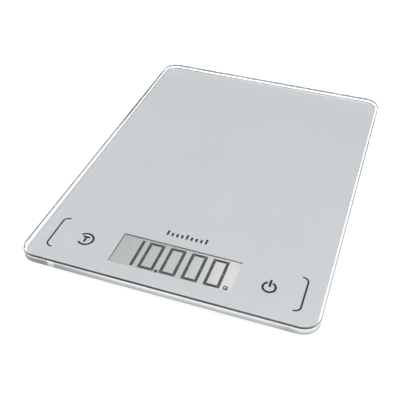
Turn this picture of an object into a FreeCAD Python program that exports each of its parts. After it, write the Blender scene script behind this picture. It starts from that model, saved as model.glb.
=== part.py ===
import FreeCAD, Part
import math
import os

# Flat kitchen scale: a glass platform bonded to a shallow housing on four feet, each on its own load cell.
# Millimetres. The origin is the middle of the footprint, on the plane that the feet rest on.
# +Z is up, +Y is the back and -Y is the front, where the display is.

# Glass platform
GLASS_X = 200.0
GLASS_Y = 275.0
GLASS_THICKNESS = 7.0
GLASS_CORNER = 12.0
GLASS_CHAMFER = 0.8

# Heights
GLASS_BOTTOM = 11.0
PRINT_THICKNESS = 0.2
TAPE_THICKNESS = 0.8
TAPE_TOP = GLASS_BOTTOM - PRINT_THICKNESS
RIM_TOP = TAPE_TOP - TAPE_THICKNESS
RIM_THICKNESS = 1.0
SHOULDER = 7.0
UNDERSIDE = 2.5
FLOOR_TOP = 4.3

# Housing outline, seen from above
RIM_HALF_X = 91.0
RIM_HALF_Y = 129.0
RIM_CORNER = 14.0
TAPER = 6.0
UNDERSIDE_ROUND = 1.2
WALL = 1.8
SLOPING_WALL = 2.2
TAPE_INNER_X = 84.0
TAPE_INNER_FRONT = -127.1
TAPE_INNER_BACK = 122.0
TAPE_INNER_CORNER = 6.0
TAPE_EDGE = 0.4

# Print and display window
PRINT_MARGIN = 2.0
WINDOW_Y = -107.8
WINDOW_HALF_X = 42.0
WINDOW_HALF_Y = 14.0
WINDOW_CORNER = 0.5

# Display, from the top down
LCD_TOP = 9.8
LCD_HALF_X = 45.5
LCD_HALF_Y = 16.9
LCD_FRONT_BOTTOM = 8.7
LCD_REAR_BOTTOM = 7.7
LCD_LEDGE = 3.8
REFLECTOR_BOTTOM = 7.5
REFLECTOR_MARGIN = 0.6
FRAME_GAP = 0.2
FRAME_WALL = 1.2
FRAME_LEDGE = 1.5
GASKET_CLEARANCE = 0.1
ZEBRA_HALF_X = 42.0
ZEBRA_WIDTH = 2.0
ZEBRA_GAP = 0.8

# Board
BOARD_BOTTOM = 6.3
BOARD_TOP = 7.1
BOARD_HALF_X = 52.5
BOARD_FRONT = -124.0
BOARD_BACK = -70.0
BOARD_CORNER = 1.5
BOARD_SCREW_X = 50.0
BOARD_SCREW_FRONT = -117.0
BOARD_SCREW_BACK = -74.0
CHIP_PLACE = (-22.0, -80.0)
CHIP_RADIUS = 6.0
CHIP_HEIGHT = 1.2
CRYSTAL_PLACE = (-34.0, -78.0)
CRYSTAL_RADIUS = 1.0
CRYSTAL_LENGTH = 6.0
CRYSTAL_ROUND = 0.25
CHIP_CAPACITOR = (2.0, 1.25, 0.9)
CAPACITOR_PITCH = 4.0
CAPACITOR_COUNT = 6
CAPACITOR_START = (12.0, -84.0)

# Screws
SCREW_RADIUS = 0.95
SCREW_HOLE = 1.0
SCREW_PASS = 1.1
SCREW_HEAD_RADIUS = 1.9
SCREW_HEAD_HEIGHT = 1.1
SCREW_HEAD_SIDE = 0.6
SCREW_HEAD_FLAT = 1.2
SCREW_TIP = 4.7
SCREW_SLOT_WIDTH = 0.5
SCREW_SLOT_DEPTH = 0.5
SCREW_SLOT_LENGTH = 2.2
POST_RADIUS = 2.3

# Touch keys
TARE_KEY = (-64.4, -108.2)
POWER_KEY = (63.4, -108.9)
KEY_RADIUS = 7.0
FLEX_THICKNESS = 0.15
FLEX_WIDTH = 4.0
FLEX_Y = -86.0
FLEX_TAB_EDGE = 1.0
CONTACT_BLOCK_HALF_X = 7.0
CONTACT_BLOCK_HALF_Y = 1.6

# Feet and load cells
FOOT_X = 68.0
FOOT_Y = 104.0
FOOT_HOLE = 11.0
FOOT_RADIUS = 10.6
FOOT_COLLAR = 12.4
FOOT_COLLAR_TOP = 5.4
FOOT_BOTTOM = 1.0
FOOT_TOP = 4.6
FOOT_BOSS = 5.0
FOOT_STEM = 2.5
FOOT_HEAD = 3.6
FOOT_HEAD_TOP = 7.9
FOOT_GROOVE = (6.2, 9.2)
FOOT_GROOVE_BOTTOM = 2.8
FOOT_EDGE = 0.3
PAD_RADIUS = 9.6
PAD_RECESS = 9.7
PAD_TOP = 1.8
PAD_EDGE = 0.4
PAD_RINGS = (3.5, 5.5, 7.5)
PAD_RING_WIDTH = 0.6
PAD_RING_DEPTH = 0.35
CELL_BOTTOM = 6.0
CELL_TOP = 7.2
CELL_HALF_X = 14.0
CELL_HALF_Y = 15.0
CELL_WINDOW_X = 10.0
CELL_WINDOW_Y = 11.0
CELL_CORNER = 2.0
CELL_POST_X = 11.5
CELL_POST_Y = 12.5
PEG_RADIUS = 1.0
PEG_TOP = 7.9
NECK_HALF_X = 4.0
NECK_END = 7.0
TONGUE_HALF_X = 7.0
TONGUE_BACK = -7.5
TONGUE_FRONT = 6.7
TONGUE_HOLE = 2.55
GAUGE_HALF_X = 4.0
GAUGE_START = 7.2
GAUGE_END = 11.6
GAUGE_TOP = 8.3
GAUGE_ROUND = 0.4

# Unit button
BUTTON_PLACE = (28.0, -82.0)
BUTTON_RADIUS = 4.0
BUTTON_HOLE = 4.2
BUTTON_FACE = 2.7
BUTTON_FLANGE = 5.4
BUTTON_FLANGE_BOTTOM = 4.35
BUTTON_FLANGE_TOP = 4.75
BUTTON_NUB = 1.5
BUTTON_TOP = 4.95
BUTTON_DISH = 0.25
BUTTON_EDGE = 0.3
BUTTON_WELL = 6.2
BUTTON_WELL_DEPTH = 0.35
SWITCH_BOTTOM = 5.7
SWITCH_HALF = 2.6
SWITCH_CORNER = 0.3
SWITCH_CAP = 1.4
SWITCH_CAP_BOTTOM = 5.5

# Battery compartment
CELL_Y = 98.0
COIN_RADIUS = 10.0
COIN_CAP_RADIUS = 8.9
COIN_EDGE = 0.3
COIN_BOTTOM = 4.5
COIN_STEP = 7.4
COIN_TOP = 7.7
WELL_RADIUS = 10.3
WELL_OUTER = 11.8
WELL_ROOF = 8.6
WELL_TOP = 9.2
DECK_TOP = 5.2
DECK_HALF_X = 21.5
DECK_FRONT = 78.0
COVER_HALF_X = 18.0
COVER_FRONT = 80.3
COVER_TOP = 4.1
COVER_GAP = 0.3
TONGUE_WIDTH = 1.3
TONGUE_BOTTOM = 3.5
GROOVE_WIDTH = 1.5
GROOVE_BOTTOM = 3.4
GROOVE_TOP = 4.2
GRIP_LINES = 5
GRIP_PITCH = 2.2
GRIP_WIDTH = 1.0
GRIP_DEPTH = 0.5
GRIP_HALF_X = 10.0
GRIP_START = 106.0
ARROW_Y = 92.0
ARROW_HALF_X = 4.0
ARROW_LENGTH = 6.0
ARROW_DEPTH = 0.4
CONTACT_THICKNESS = 0.2
CONTACT_HALF_WIDTH = 1.5
CONTACT_X = 2.0
CONTACT_POCKET = 0.7
CONTACT_GAP = 0.02
CONTACT_ARM = 8.1
CONTACT_REACH = 7.0
CONTACT_TAIL_Y = 83.5
CONTACT_TAIL_BOTTOM = 6.8

# Ribs on the housing floor
RIB_THICKNESS = 1.2
RIB_TOP = 8.8
CROSS_RIBS = (-45.0, 0.0, 45.0)
LONG_RIB_X = 36.0
LONG_RIB_FRONT = -64.0
LONG_RIB_BACK = 74.0
NOTCH_BOTTOM = 6.5
SIDE_NOTCH = (55.0, 68.0)
MIDDLE_NOTCH = 6.0

# Wires, all lying at one height inside the housing
WIRE_RADIUS = 0.35
WIRE_Z = 7.6
WIRE_PITCH = 1.0
BEND_SHARE = 0.45
HEADER_TOP = 9.3
SIDE_HEADER_X = (43.0, 48.0)
SIDE_HEADER_Y = (-89.0, -79.0)
BATTERY_HEADER_HALF_X = 4.0
BATTERY_HEADER_Y = (-76.0, -72.0)
FRONT_WIRE_ROUTE = [(-68.0, -87.8), (-63.0, -84.6), (-55.5, -87.5), (-48.0, -87.5)]
BACK_WIRE_ROUTE = [
    (-68.0, 76.0),
    (-63.0, 52.0),
    (-61.0, 20.0),
    (-62.0, -14.0),
    (-61.0, -46.0),
    (-59.5, -68.0),
    (-56.5, -79.5),
    (-52.0, -82.5),
    (-48.0, -82.5),
]
BATTERY_LEAD_ROUTE = [
    (0.0, CONTACT_TAIL_Y),
    (0.0, 66.0),
    (1.2, 48.0),
    (-0.8, 20.0),
    (1.0, -8.0),
    (-0.9, -34.0),
    (0.0, -56.0),
    (0.0, -72.0),
]

LEVEL_TOLERANCE = 1e-4

CORNERS = {
    "front_left": (-1, -1),
    "front_right": (1, -1),
    "back_left": (-1, 1),
    "back_right": (1, 1),
}


def vector(x, y, z=0.0):
    return FreeCAD.Vector(x, y, z)


def box(low, high):
    """A box between two opposite corners."""
    size = [b - a for a, b in zip(low, high)]
    return Part.makeBox(*size, vector(*low))


def cylinder(radius, bottom, top, place=(0.0, 0.0)):
    """An upright cylinder."""
    return Part.makeCylinder(radius, top - bottom, vector(*place, bottom))


def moved(shape, x, y, z=0.0):
    copy = shape.copy()
    copy.translate(vector(x, y, z))
    return copy


def rounded_wire(low, high, radius, z):
    """A rectangle with rounded corners at height z, between two corners seen from above."""
    (x0, y0), (x1, y1) = low, high
    # Each corner is its arc's centre and the angle at which the arc starts.
    arcs = [
        (x1 - radius, y0 + radius, -90.0),
        (x1 - radius, y1 - radius, 0.0),
        (x0 + radius, y1 - radius, 90.0),
        (x0 + radius, y0 + radius, 180.0),
    ]
    edges = []
    ends = []
    for x, y, start in arcs:
        points = []
        for step in (0.0, 45.0, 90.0):
            angle = math.radians(start + step)
            points.append(vector(x + radius * math.cos(angle), y + radius * math.sin(angle), z))
        edges.append(Part.Arc(*points).toShape())
        ends.append((points[0], points[2]))
    for i, (_, leaves) in enumerate(ends):
        arrives = ends[(i + 1) % len(ends)][0]
        edges.insert(2 * i + 1, Part.LineSegment(leaves, arrives).toShape())
    return Part.Wire(edges)


def rounded_slab(low, high, radius, bottom, top):
    """An upright slab with rounded corners."""
    face = Part.Face(rounded_wire(low, high, radius, bottom))
    return face.extrude(vector(0, 0, top - bottom))


def centred_slab(half_x, half_y, radius, bottom, top, y=0.0):
    return rounded_slab((-half_x, y - half_y), (half_x, y + half_y), radius, bottom, top)


def revolved(points, place=(0.0, 0.0)):
    """A solid of revolution about a vertical axis, from (radius, z) points."""
    corners = [vector(r, 0, z) for r, z in points]
    face = Part.Face(Part.makePolygon(corners + corners[:1]))
    solid = face.revolve(vector(0, 0), vector(0, 0, 1), 360)
    return moved(solid, *place)


def joined(shapes):
    """One solid from shapes that overlap or touch."""
    return shapes[0].fuse(shapes[1:]).removeSplitter()


def beside(points, distance):
    """A line of points parallel to another, at a distance to its left, mitred at the bends."""
    normals = []
    for a, b in zip(points, points[1:]):
        length = math.dist(a, b)
        normals.append(((a[1] - b[1]) / length, (b[0] - a[0]) / length))
    normals = normals[:1] + normals + normals[-1:]
    shifted = []
    for (x, y), n, m in zip(points, normals, normals[1:]):
        share = distance / (1 + n[0] * m[0] + n[1] * m[1])
        shifted.append((x + (n[0] + m[0]) * share, y + (n[1] + m[1]) * share))
    return shifted


def level_edges(shape, z):
    """The edges that lie flat at height z."""
    flat = []
    for edge in shape.Edges:
        bounds = edge.BoundBox
        if abs(bounds.ZMin - z) < LEVEL_TOLERANCE and abs(bounds.ZMax - z) < LEVEL_TOLERANCE:
            flat.append(edge)
    return flat


# Glass, print and tape


def glass_platform():
    top = GLASS_BOTTOM + GLASS_THICKNESS
    slab = centred_slab(GLASS_X / 2, GLASS_Y / 2, GLASS_CORNER, GLASS_BOTTOM, top)
    edges = level_edges(slab, GLASS_BOTTOM) + level_edges(slab, top)
    return slab.makeChamfer(GLASS_CHAMFER, edges)


def back_print():
    """The printed layer under the glass, with a clear margin and the display window."""
    half_x = GLASS_X / 2 - PRINT_MARGIN
    half_y = GLASS_Y / 2 - PRINT_MARGIN
    sheet = centred_slab(half_x, half_y, GLASS_CORNER - PRINT_MARGIN, TAPE_TOP, GLASS_BOTTOM)
    window = centred_slab(WINDOW_HALF_X, WINDOW_HALF_Y, WINDOW_CORNER, TAPE_TOP, GLASS_BOTTOM, WINDOW_Y)
    return sheet.cut(window)


def mounting_tape():
    """The foam tape between the housing's rim and the print."""
    half_x = RIM_HALF_X - TAPE_EDGE
    half_y = RIM_HALF_Y - TAPE_EDGE
    ring = centred_slab(half_x, half_y, RIM_CORNER - TAPE_EDGE, RIM_TOP, TAPE_TOP)
    return ring.cut(rim_opening(RIM_TOP, TAPE_TOP))


def rim_opening(bottom, top):
    low = (-TAPE_INNER_X, TAPE_INNER_FRONT)
    high = (TAPE_INNER_X, TAPE_INNER_BACK)
    return rounded_slab(low, high, TAPE_INNER_CORNER, bottom, top)


# Housing


def outline_at(z, inset):
    """The housing's outline at height z, moved in by inset. It tapers below the shoulder."""
    taper = TAPER * max(0.0, SHOULDER - z) / (SHOULDER - UNDERSIDE)
    half_x = RIM_HALF_X - taper - inset
    half_y = RIM_HALF_Y - taper - inset
    radius = RIM_CORNER - taper - inset
    return rounded_wire((-half_x, -half_y), (half_x, half_y), radius, z)


def housing_solid():
    """The housing's outside, filled."""
    lower = Part.makeLoft([outline_at(UNDERSIDE, 0), outline_at(SHOULDER, 0)], True, True)
    upper = Part.Face(outline_at(SHOULDER, 0)).extrude(vector(0, 0, RIM_TOP - SHOULDER))
    lower = lower.makeFillet(UNDERSIDE_ROUND, level_edges(lower, UNDERSIDE))
    return joined([lower, upper])


def housing_cavity():
    """The space inside the walls, and the opening in the rim."""
    outlines = [outline_at(z, SLOPING_WALL) for z in (FLOOR_TOP, SHOULDER)]
    lower = Part.makeLoft(outlines, True, True)
    flange_bottom = RIM_TOP - RIM_THICKNESS
    upper = Part.Face(outline_at(SHOULDER, WALL)).extrude(vector(0, 0, flange_bottom - SHOULDER))
    return [lower, upper, rim_opening(flange_bottom, RIM_TOP)]


def cell_places():
    """(name, x, y, turn) of each load cell. Its neck points to the middle of the housing."""
    places = []
    for name, (side, end) in CORNERS.items():
        places.append((name, side * FOOT_X, end * FOOT_Y, 180.0 if end > 0 else 0.0))
    return places


def placed(shape, x, y, turn):
    """A copy of a load cell's piece at its corner."""
    copy = shape.copy()
    copy.rotate(vector(0, 0), vector(0, 0, 1), turn)
    copy.translate(vector(x, y))
    return copy


def post_places(screwed):
    """Where one load cell's screws go, or its locating pegs."""
    sides = (1, -1) if screwed else (-1, 1)
    return [(sides[0] * CELL_POST_X, CELL_POST_Y), (sides[1] * CELL_POST_X, -CELL_POST_Y)]


def cell_seat():
    """The collar, posts and pegs for one load cell, and what is bored out of them."""
    solids = [cylinder(FOOT_COLLAR, UNDERSIDE, FOOT_COLLAR_TOP)]
    bores = [cylinder(FOOT_HOLE, UNDERSIDE, FOOT_COLLAR_TOP)]
    for place in post_places(True):
        solids.append(cylinder(POST_RADIUS, FLOOR_TOP, CELL_BOTTOM, place))
        bores.append(cylinder(SCREW_HOLE, FLOOR_TOP, CELL_BOTTOM, place))
    for place in post_places(False):
        solids.append(cylinder(POST_RADIUS, FLOOR_TOP, CELL_BOTTOM, place))
        solids.append(cylinder(PEG_RADIUS, CELL_BOTTOM, PEG_TOP, place))
    return solids, bores


def board_screw_places():
    return [(side * BOARD_SCREW_X, y) for side in (-1, 1) for y in (BOARD_SCREW_FRONT, BOARD_SCREW_BACK)]


def ribs():
    """The stiffening ribs, with notches for the wires."""
    half = RIB_THICKNESS / 2
    reach = RIM_HALF_X - TAPER
    solids = []
    for y in CROSS_RIBS:
        solids.append(box((-reach, y - half, FLOOR_TOP), (reach, y + half, RIB_TOP)))
    for side in (-1, 1):
        x = side * LONG_RIB_X
        solids.append(box((x - half, LONG_RIB_FRONT, FLOOR_TOP), (x + half, LONG_RIB_BACK, RIB_TOP)))
    spans = [(-MIDDLE_NOTCH, MIDDLE_NOTCH), SIDE_NOTCH, (-SIDE_NOTCH[1], -SIDE_NOTCH[0])]
    notches = []
    for low, high in spans:
        for y in CROSS_RIBS:
            notches.append(box((low, y - half, NOTCH_BOTTOM), (high, y + half, RIB_TOP)))
    return [joined(solids).cut(notches)]


def battery_deck():
    """The ceiling over the battery cover and the round well above it."""
    deck = box((-DECK_HALF_X, DECK_FRONT, FLOOR_TOP), (DECK_HALF_X, RIM_HALF_Y, DECK_TOP))
    well = cylinder(WELL_OUTER, FLOOR_TOP, WELL_TOP, (0, CELL_Y))
    return [deck.common(housing_solid()), well]


def battery_openings():
    """What is cut for the cover, its grooves, the coin cell and the contacts' tails."""
    beyond = GLASS_Y / 2
    gap_x = COVER_HALF_X + COVER_GAP
    groove_x = COVER_HALF_X + GROOVE_WIDTH
    tail_x = CONTACT_X + CONTACT_HALF_WIDTH + COVER_GAP
    return [
        box((-gap_x, COVER_FRONT - COVER_GAP, UNDERSIDE), (gap_x, beyond, GROOVE_TOP)),
        box((-groove_x, COVER_FRONT - COVER_GAP, GROOVE_BOTTOM), (groove_x, beyond, GROOVE_TOP)),
        cylinder(WELL_RADIUS, UNDERSIDE, WELL_ROOF, (0, CELL_Y)),
        box((-tail_x, CELL_Y - WELL_RADIUS - CONTACT_POCKET, GROOVE_TOP), (tail_x, CELL_Y, WELL_ROOF)),
        box((-tail_x, CELL_Y - WELL_OUTER, COIN_TOP), (tail_x, CELL_Y, WELL_ROOF)),
    ]


def base_housing():
    shell = housing_solid().cut(housing_cavity())
    added = ribs() + battery_deck()
    cuts = battery_openings()
    solids, bores = cell_seat()
    for _, x, y, turn in cell_places():
        added += [placed(s, x, y, turn) for s in solids]
        cuts += [placed(s, x, y, turn) for s in bores]
    for place in board_screw_places():
        added.append(cylinder(POST_RADIUS, FLOOR_TOP, BOARD_BOTTOM, place))
        cuts.append(cylinder(SCREW_HOLE, FLOOR_TOP, BOARD_BOTTOM, place))
    cuts.append(cylinder(BUTTON_HOLE, UNDERSIDE, FLOOR_TOP, BUTTON_PLACE))
    cuts.append(cylinder(BUTTON_WELL, UNDERSIDE, UNDERSIDE + BUTTON_WELL_DEPTH, BUTTON_PLACE))
    return joined([shell] + added).cut(cuts)


# Display


def lcd_front_glass():
    return centred_slab(LCD_HALF_X, LCD_HALF_Y, WINDOW_CORNER, LCD_FRONT_BOTTOM, LCD_TOP, WINDOW_Y)


def lcd_rear_glass():
    """The shorter rear plate. The front plate's ledge beyond it carries the contacts."""
    low = (-LCD_HALF_X, WINDOW_Y - LCD_HALF_Y)
    high = (LCD_HALF_X, WINDOW_Y + LCD_HALF_Y - LCD_LEDGE)
    return rounded_slab(low, high, WINDOW_CORNER, LCD_REAR_BOTTOM, LCD_FRONT_BOTTOM)


def lcd_reflector():
    low = (-LCD_HALF_X + REFLECTOR_MARGIN, WINDOW_Y - LCD_HALF_Y + REFLECTOR_MARGIN)
    high = (LCD_HALF_X - REFLECTOR_MARGIN, WINDOW_Y + LCD_HALF_Y - LCD_LEDGE - REFLECTOR_MARGIN)
    return rounded_slab(low, high, WINDOW_CORNER, REFLECTOR_BOTTOM, LCD_REAR_BOTTOM)


def frame_slab(inset, bottom, top):
    """A slab with the display frame's outline, moved in by inset."""
    half_x = LCD_HALF_X + FRAME_GAP + FRAME_WALL - inset
    half_y = LCD_HALF_Y + FRAME_GAP + FRAME_WALL - inset
    return centred_slab(half_x, half_y, WINDOW_CORNER, bottom, top, WINDOW_Y)


def display_frame():
    """The carrier round the display, with a ledge under it on three sides."""
    walls = frame_slab(0, BOARD_TOP, LCD_TOP).cut(frame_slab(FRAME_WALL, REFLECTOR_BOTTOM, LCD_TOP))
    inner_x = LCD_HALF_X - FRAME_LEDGE
    front = WINDOW_Y - LCD_HALF_Y + FRAME_LEDGE
    back = WINDOW_Y + LCD_HALF_Y + FRAME_GAP
    return walls.cut(rounded_slab((-inner_x, front), (inner_x, back), WINDOW_CORNER, BOARD_TOP, LCD_TOP))


def display_gasket():
    """The dark foam ring between the display and the print."""
    half_x = WINDOW_HALF_X + GASKET_CLEARANCE
    half_y = WINDOW_HALF_Y + GASKET_CLEARANCE
    hole = centred_slab(half_x, half_y, WINDOW_CORNER, LCD_TOP, TAPE_TOP, WINDOW_Y)
    return frame_slab(0, LCD_TOP, TAPE_TOP).cut(hole)


def zebra_strip():
    """The elastomer strip under the display's ledge."""
    start = WINDOW_Y + LCD_HALF_Y - LCD_LEDGE + ZEBRA_GAP
    return box((-ZEBRA_HALF_X, start, BOARD_TOP), (ZEBRA_HALF_X, start + ZEBRA_WIDTH, LCD_FRONT_BOTTOM))


# Board and what is on it


def main_board():
    low = (-BOARD_HALF_X, BOARD_FRONT)
    high = (BOARD_HALF_X, BOARD_BACK)
    board = rounded_slab(low, high, BOARD_CORNER, BOARD_BOTTOM, BOARD_TOP)
    holes = [cylinder(SCREW_PASS, BOARD_BOTTOM, BOARD_TOP, place) for place in board_screw_places()]
    return board.cut(holes)


def controller_chip():
    """A dome of black resin over the bare chip: the cap of a sphere."""
    ball = (CHIP_RADIUS**2 + CHIP_HEIGHT**2) / (2 * CHIP_HEIGHT)
    centre = vector(*CHIP_PLACE, BOARD_TOP + CHIP_HEIGHT - ball)
    return Part.makeSphere(ball, centre).common(cylinder(CHIP_RADIUS, BOARD_TOP, HEADER_TOP, CHIP_PLACE))


def quartz_crystal():
    """A small metal can lying on the board."""
    x, y = CRYSTAL_PLACE
    start = vector(x, y, BOARD_TOP + CRYSTAL_RADIUS)
    can = Part.makeCylinder(CRYSTAL_RADIUS, CRYSTAL_LENGTH, start, vector(0, -1, 0))
    rims = [edge for edge in can.Edges if len(edge.Vertexes) == 1]
    return can.makeFillet(CRYSTAL_ROUND, rims)


def chip_capacitors():
    length, width, height = CHIP_CAPACITOR
    x0, y0 = CAPACITOR_START
    pieces = []
    for i in range(CAPACITOR_COUNT):
        x = x0 + (i // 2) * CAPACITOR_PITCH
        y = y0 + (i % 2) * CAPACITOR_PITCH
        pieces.append(box((x, y, BOARD_TOP), (x + length, y + width, BOARD_TOP + height)))
    return Part.makeCompound(pieces)


def side_header(side):
    """The block that the wires of two load cells plug into."""
    xs = sorted(side * x for x in SIDE_HEADER_X)
    return box((xs[0], SIDE_HEADER_Y[0], BOARD_TOP), (xs[1], SIDE_HEADER_Y[1], HEADER_TOP))


def battery_header():
    low = (-BATTERY_HEADER_HALF_X, BATTERY_HEADER_Y[0], BOARD_TOP)
    return box(low, (BATTERY_HEADER_HALF_X, BATTERY_HEADER_Y[1], HEADER_TOP))


def screw_head():
    """A pan head with a cross recess, its underside at z = 0."""
    outline = [
        (0, 0),
        (SCREW_HEAD_RADIUS, 0),
        (SCREW_HEAD_RADIUS, SCREW_HEAD_SIDE),
        (SCREW_HEAD_FLAT, SCREW_HEAD_HEIGHT),
        (0, SCREW_HEAD_HEIGHT),
    ]
    head = revolved(outline)
    half = SCREW_SLOT_LENGTH / 2
    wide = SCREW_SLOT_WIDTH / 2
    low = SCREW_HEAD_HEIGHT - SCREW_SLOT_DEPTH
    slots = [
        box((-half, -wide, low), (half, wide, SCREW_HEAD_HEIGHT)),
        box((-wide, -half, low), (wide, half, SCREW_HEAD_HEIGHT)),
    ]
    return head.cut(slots)


def screw_at(x, y, seat):
    """A screw seated at height seat, with its shank down to SCREW_TIP."""
    point = SCREW_TIP + SCREW_RADIUS
    shank = revolved([(0, SCREW_TIP), (SCREW_RADIUS, point), (SCREW_RADIUS, seat), (0, seat)])
    return moved(joined([shank, moved(screw_head(), 0, 0, seat)]), x, y)


def board_screws():
    return Part.makeCompound([screw_at(x, y, BOARD_TOP) for x, y in board_screw_places()])


def touch_flex():
    """The film with the two key electrodes, a strip between them and a tab over the contact block."""
    bottom = TAPE_TOP - FLEX_THICKNESS
    half = FLEX_WIDTH / 2
    shapes = [box((TARE_KEY[0], FLEX_Y - half, bottom), (POWER_KEY[0], FLEX_Y + half, TAPE_TOP))]
    for x, y in (TARE_KEY, POWER_KEY):
        shapes.append(cylinder(KEY_RADIUS, bottom, TAPE_TOP, (x, y)))
        shapes.append(box((x - half, y, bottom), (x + half, FLEX_Y + half, TAPE_TOP)))
    tab_x = CONTACT_BLOCK_HALF_X + FLEX_TAB_EDGE
    shapes.append(box((-tab_x, FLEX_Y, bottom), (tab_x, FLEX_Y + 2 * FLEX_WIDTH, TAPE_TOP)))
    return joined(shapes)


def touch_contact_block():
    """The elastomer block from the board up to the film's tab."""
    y = FLEX_Y + FLEX_WIDTH + CONTACT_BLOCK_HALF_Y
    low = (-CONTACT_BLOCK_HALF_X, y - CONTACT_BLOCK_HALF_Y, BOARD_TOP)
    return box(low, (CONTACT_BLOCK_HALF_X, y + CONTACT_BLOCK_HALF_Y, TAPE_TOP - FLEX_THICKNESS))


# Unit button


def unit_switch():
    """The low switch under the board, with its round cap facing down."""
    body = centred_slab(SWITCH_HALF, SWITCH_HALF, SWITCH_CORNER, SWITCH_BOTTOM, BOARD_BOTTOM)
    cap = cylinder(SWITCH_CAP, SWITCH_CAP_BOTTOM, SWITCH_BOTTOM)
    return moved(joined([body, cap]), *BUTTON_PLACE)


def unit_button():
    """A round button with a dished face below and a flange that keeps it in the housing."""
    outline = [
        (0, BUTTON_FACE + BUTTON_DISH),
        (BUTTON_RADIUS - 2 * BUTTON_EDGE, BUTTON_FACE),
        (BUTTON_RADIUS - BUTTON_EDGE, BUTTON_FACE),
        (BUTTON_RADIUS, BUTTON_FACE + BUTTON_EDGE),
        (BUTTON_RADIUS, BUTTON_FLANGE_BOTTOM),
        (BUTTON_FLANGE, BUTTON_FLANGE_BOTTOM),
        (BUTTON_FLANGE, BUTTON_FLANGE_TOP),
        (BUTTON_NUB, BUTTON_FLANGE_TOP),
        (BUTTON_NUB, BUTTON_TOP),
        (0, BUTTON_TOP),
    ]
    return revolved(outline, BUTTON_PLACE)


# Load cells and feet


def load_cell():
    """The outer frame of the stamping with its neck. The tongue beyond the neck carries the foot."""
    plate = centred_slab(CELL_HALF_X, CELL_HALF_Y, CELL_CORNER, CELL_BOTTOM, CELL_TOP)
    window = centred_slab(CELL_WINDOW_X, CELL_WINDOW_Y, CELL_CORNER, CELL_BOTTOM, CELL_TOP)
    neck = box((-NECK_HALF_X, NECK_END, CELL_BOTTOM), (NECK_HALF_X, CELL_WINDOW_Y, CELL_TOP))
    places = post_places(True) + post_places(False)
    holes = [cylinder(SCREW_PASS, CELL_BOTTOM, CELL_TOP, place) for place in places]
    return joined([plate.cut(window), neck]).cut(holes)


def load_tongue():
    low = (-TONGUE_HALF_X, TONGUE_BACK)
    high = (TONGUE_HALF_X, TONGUE_FRONT)
    plate = rounded_slab(low, high, CELL_CORNER, CELL_BOTTOM, CELL_TOP)
    return plate.cut(cylinder(TONGUE_HOLE, CELL_BOTTOM, CELL_TOP))


def strain_gauge():
    """The gauge on the neck, under its potting."""
    block = box((-GAUGE_HALF_X, GAUGE_START, CELL_TOP), (GAUGE_HALF_X, GAUGE_END, GAUGE_TOP))
    return block.makeFillet(GAUGE_ROUND, level_edges(block, GAUGE_TOP))


def foot():
    """The hard foot: a cup for the pad below, a stem through the tongue and a staked head on it."""
    groove_in, groove_out = FOOT_GROOVE
    outline = [
        (0, PAD_TOP),
        (PAD_RECESS, PAD_TOP),
        (PAD_RECESS, FOOT_BOTTOM),
        (FOOT_RADIUS - FOOT_EDGE, FOOT_BOTTOM),
        (FOOT_RADIUS, FOOT_BOTTOM + FOOT_EDGE),
        (FOOT_RADIUS, FOOT_TOP),
        (groove_out, FOOT_TOP),
        (groove_out, FOOT_GROOVE_BOTTOM),
        (groove_in, FOOT_GROOVE_BOTTOM),
        (FOOT_BOSS, FOOT_TOP),
        (FOOT_BOSS, CELL_BOTTOM),
        (FOOT_STEM, CELL_BOTTOM),
        (FOOT_STEM, CELL_TOP),
        (FOOT_HEAD, CELL_TOP),
        (FOOT_STEM, FOOT_HEAD_TOP),
        (0, FOOT_HEAD_TOP),
    ]
    return revolved(outline)


def foot_pad():
    """The rubber pad, with ring grooves in the face that meets the table."""
    outline = [
        (0, 0),
        (PAD_RADIUS - PAD_EDGE, 0),
        (PAD_RADIUS, PAD_EDGE),
        (PAD_RADIUS, PAD_TOP),
        (0, PAD_TOP),
    ]
    rings = []
    for radius in PAD_RINGS:
        outer = radius + PAD_RING_WIDTH
        rings.append(revolved([(radius, 0), (outer, 0), (outer, PAD_RING_DEPTH), (radius, PAD_RING_DEPTH)]))
    return revolved(outline).cut(rings)


def load_cell_screws():
    screws = []
    for _, x, y, turn in cell_places():
        for px, py in post_places(True):
            screws.append(placed(screw_at(px, py, CELL_TOP), x, y, turn))
    return Part.makeCompound(screws)


# Battery


def battery_cover():
    """The sliding cover, flush with the housing's underside and its sloping back wall."""
    back = RIM_HALF_Y
    plate = box((-COVER_HALF_X, COVER_FRONT, UNDERSIDE), (COVER_HALF_X, back, COVER_TOP))
    tongue_x = COVER_HALF_X + TONGUE_WIDTH
    tongues = box((-tongue_x, COVER_FRONT, TONGUE_BOTTOM), (tongue_x, back, COVER_TOP))
    cover = joined([plate, tongues]).common(housing_solid())
    cuts = [grip_line(i) for i in range(GRIP_LINES)] + [arrow()]
    return cover.cut(cuts)


def grip_line(number):
    """One groove of the finger grip."""
    y = GRIP_START + number * GRIP_PITCH
    return box((-GRIP_HALF_X, y, UNDERSIDE), (GRIP_HALF_X, y + GRIP_WIDTH, UNDERSIDE + GRIP_DEPTH))


def arrow():
    """A plain arrowhead in the cover, pointing the way it slides."""
    corners = [
        vector(-ARROW_HALF_X, ARROW_Y, UNDERSIDE),
        vector(0, ARROW_Y + ARROW_LENGTH, UNDERSIDE),
        vector(ARROW_HALF_X, ARROW_Y, UNDERSIDE),
        vector(0, ARROW_Y + ARROW_LENGTH / 3, UNDERSIDE),
    ]
    face = Part.Face(Part.makePolygon(corners + corners[:1]))
    return face.extrude(vector(0, 0, ARROW_DEPTH))


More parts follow.
